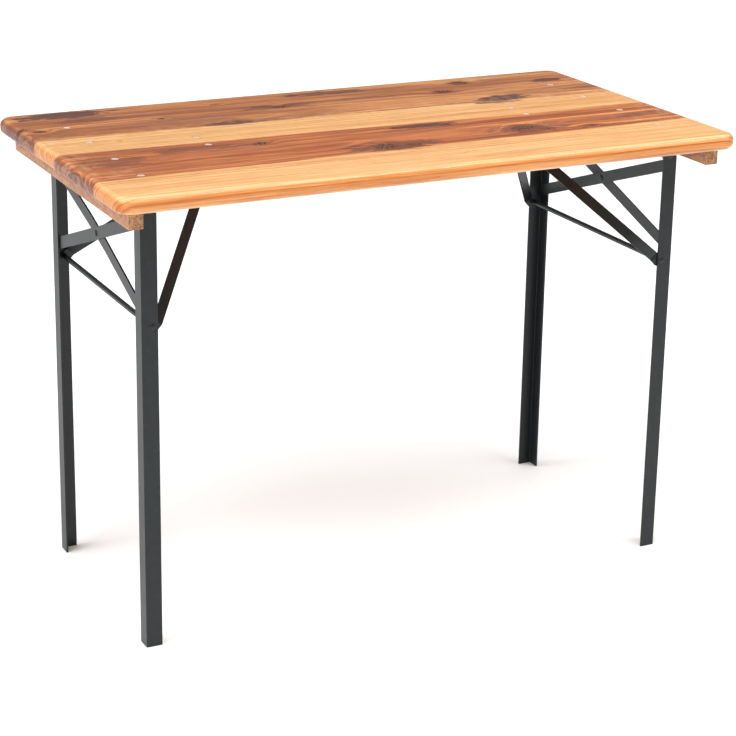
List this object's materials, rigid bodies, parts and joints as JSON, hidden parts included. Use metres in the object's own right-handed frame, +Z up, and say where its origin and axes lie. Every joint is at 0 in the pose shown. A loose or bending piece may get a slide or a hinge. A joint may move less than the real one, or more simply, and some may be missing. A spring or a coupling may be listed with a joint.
{
  "type": "folding table",
  "caption": "Small folding table: glued board top on two battens, two angle-steel leg frames that fold flat under it, braced by V struts held in sprung catches.",
  "frame": {"origin": "on the floor, under the middle of the top", "axes": "+X along the table's length towards the right leg frame, +Y towards the back long edge, +Z up"},
  "size_m": [1.1, 0.6, 0.77],
  "materials": {
    "heartwood_board": "satin lacquer",
    "sapwood_board": "satin lacquer",
    "batten_wood": "sawn",
    "frame_paint": "satin",
    "zinc_steel": "zinc plated",
    "spring_steel": "bare"
  },
  "bodies": {
    "top": {"back_board": "heartwood_board", "front_board": "sapwood_board", "left_back_batten_screw": "zinc_steel", "left_back_catch_rivet": "zinc_steel", "left_back_hinge_plate": "zinc_steel", "left_back_inner_hinge_rivet": "zinc_steel", "left_back_outer_hinge_rivet": "zinc_steel", "left_back_pivot_rivet": "frame_paint", "left_batten": "batten_wood", "left_catch_plate": "zinc_steel", "left_catch_spring": "spring_steel", "left_front_batten_screw": "zinc_steel", "left_front_catch_rivet": "zinc_steel", "left_front_hinge_plate": "zinc_steel", "left_front_inner_hinge_rivet": "zinc_steel", "left_front_outer_hinge_rivet": "zinc_steel", "left_front_pivot_rivet": "frame_paint", "left_lever_pin": "zinc_steel", "left_middle_batten_screw": "zinc_steel", "left_sapwood_batten_screw": "zinc_steel", "middle_board": "heartwood_board", "right_back_batten_screw": "zinc_steel", "right_back_catch_rivet": "zinc_steel", "right_back_hinge_plate": "zinc_steel", "right_back_inner_hinge_rivet": "zinc_steel", "right_back_outer_hinge_rivet": "zinc_steel", "right_back_pivot_rivet": "frame_paint", "right_batten": "batten_wood", "right_catch_plate": "zinc_steel", "right_catch_spring": "spring_steel", "right_front_batten_screw": "zinc_steel", "right_front_catch_rivet": "zinc_steel", "right_front_hinge_plate": "zinc_steel", "right_front_inner_hinge_rivet": "zinc_steel", "right_front_outer_hinge_rivet": "zinc_steel", "right_front_pivot_rivet": "frame_paint", "right_lever_pin": "zinc_steel", "right_middle_batten_screw": "zinc_steel", "right_sapwood_batten_screw": "zinc_steel", "sapwood_board": "sapwood_board"},
    "left_leg_frame": {"left_back_leg": "frame_paint", "left_brace_rivet": "frame_paint", "left_front_leg": "frame_paint", "left_inner_brace": "frame_paint", "left_outer_brace": "frame_paint", "left_tie_rod": "frame_paint"},
    "left_strut": {"left_back_strut_arm": "frame_paint", "left_front_strut_arm": "frame_paint", "left_strut_pin": "zinc_steel"},
    "left_catch_lever": {"left_catch_lever": "spring_steel"},
    "right_leg_frame": {"right_back_leg": "frame_paint", "right_brace_rivet": "frame_paint", "right_front_leg": "frame_paint", "right_inner_brace": "frame_paint", "right_outer_brace": "frame_paint", "right_tie_rod": "frame_paint"},
    "right_strut": {"right_back_strut_arm": "frame_paint", "right_front_strut_arm": "frame_paint", "right_strut_pin": "zinc_steel"},
    "right_catch_lever": {"right_catch_lever": "spring_steel"}
  },
  "joints": [
    {"name": "left_leg_fold", "type": "hinge", "parent": "top", "child": "left_leg_frame", "pos_m": [-0.468, 0, 0.726], "axis": [0, -1, 0], "range_deg": [0, 90]},
    {"name": "left_strut_swing", "type": "hinge", "parent": "left_leg_frame", "child": "left_strut", "pos_m": [-0.468, 0, 0.54], "axis": [0, -1, 0], "range_deg": [-137.1, 0]},
    {"name": "left_catch_release", "type": "hinge", "parent": "top", "child": "left_catch_lever", "pos_m": [-0.252, 0, 0.736], "axis": [0, 1, 0], "range_deg": [0, 9], "stiffness_Nm_per_rad": 0.35},
    {"name": "right_leg_fold", "type": "hinge", "parent": "top", "child": "right_leg_frame", "pos_m": [0.468, 0, 0.7225], "axis": [0, 1, 0], "range_deg": [0, 90]},
    {"name": "right_strut_swing", "type": "hinge", "parent": "right_leg_frame", "child": "right_strut", "pos_m": [0.4645, 0, 0.5365], "axis": [0, 1, 0], "range_deg": [-138.2, 0]},
    {"name": "right_catch_release", "type": "hinge", "parent": "top", "child": "right_catch_lever", "pos_m": [0.252, 0, 0.736], "axis": [0, -1, 0], "range_deg": [0, 9], "stiffness_Nm_per_rad": 0.35}
  ],
  "couplings": [
    {"joint": "left_strut_swing", "follows": "left_leg_fold", "ratio": -1.5222},
    {"joint": "right_strut_swing", "follows": "right_leg_fold", "ratio": -1.5341}
  ]
}
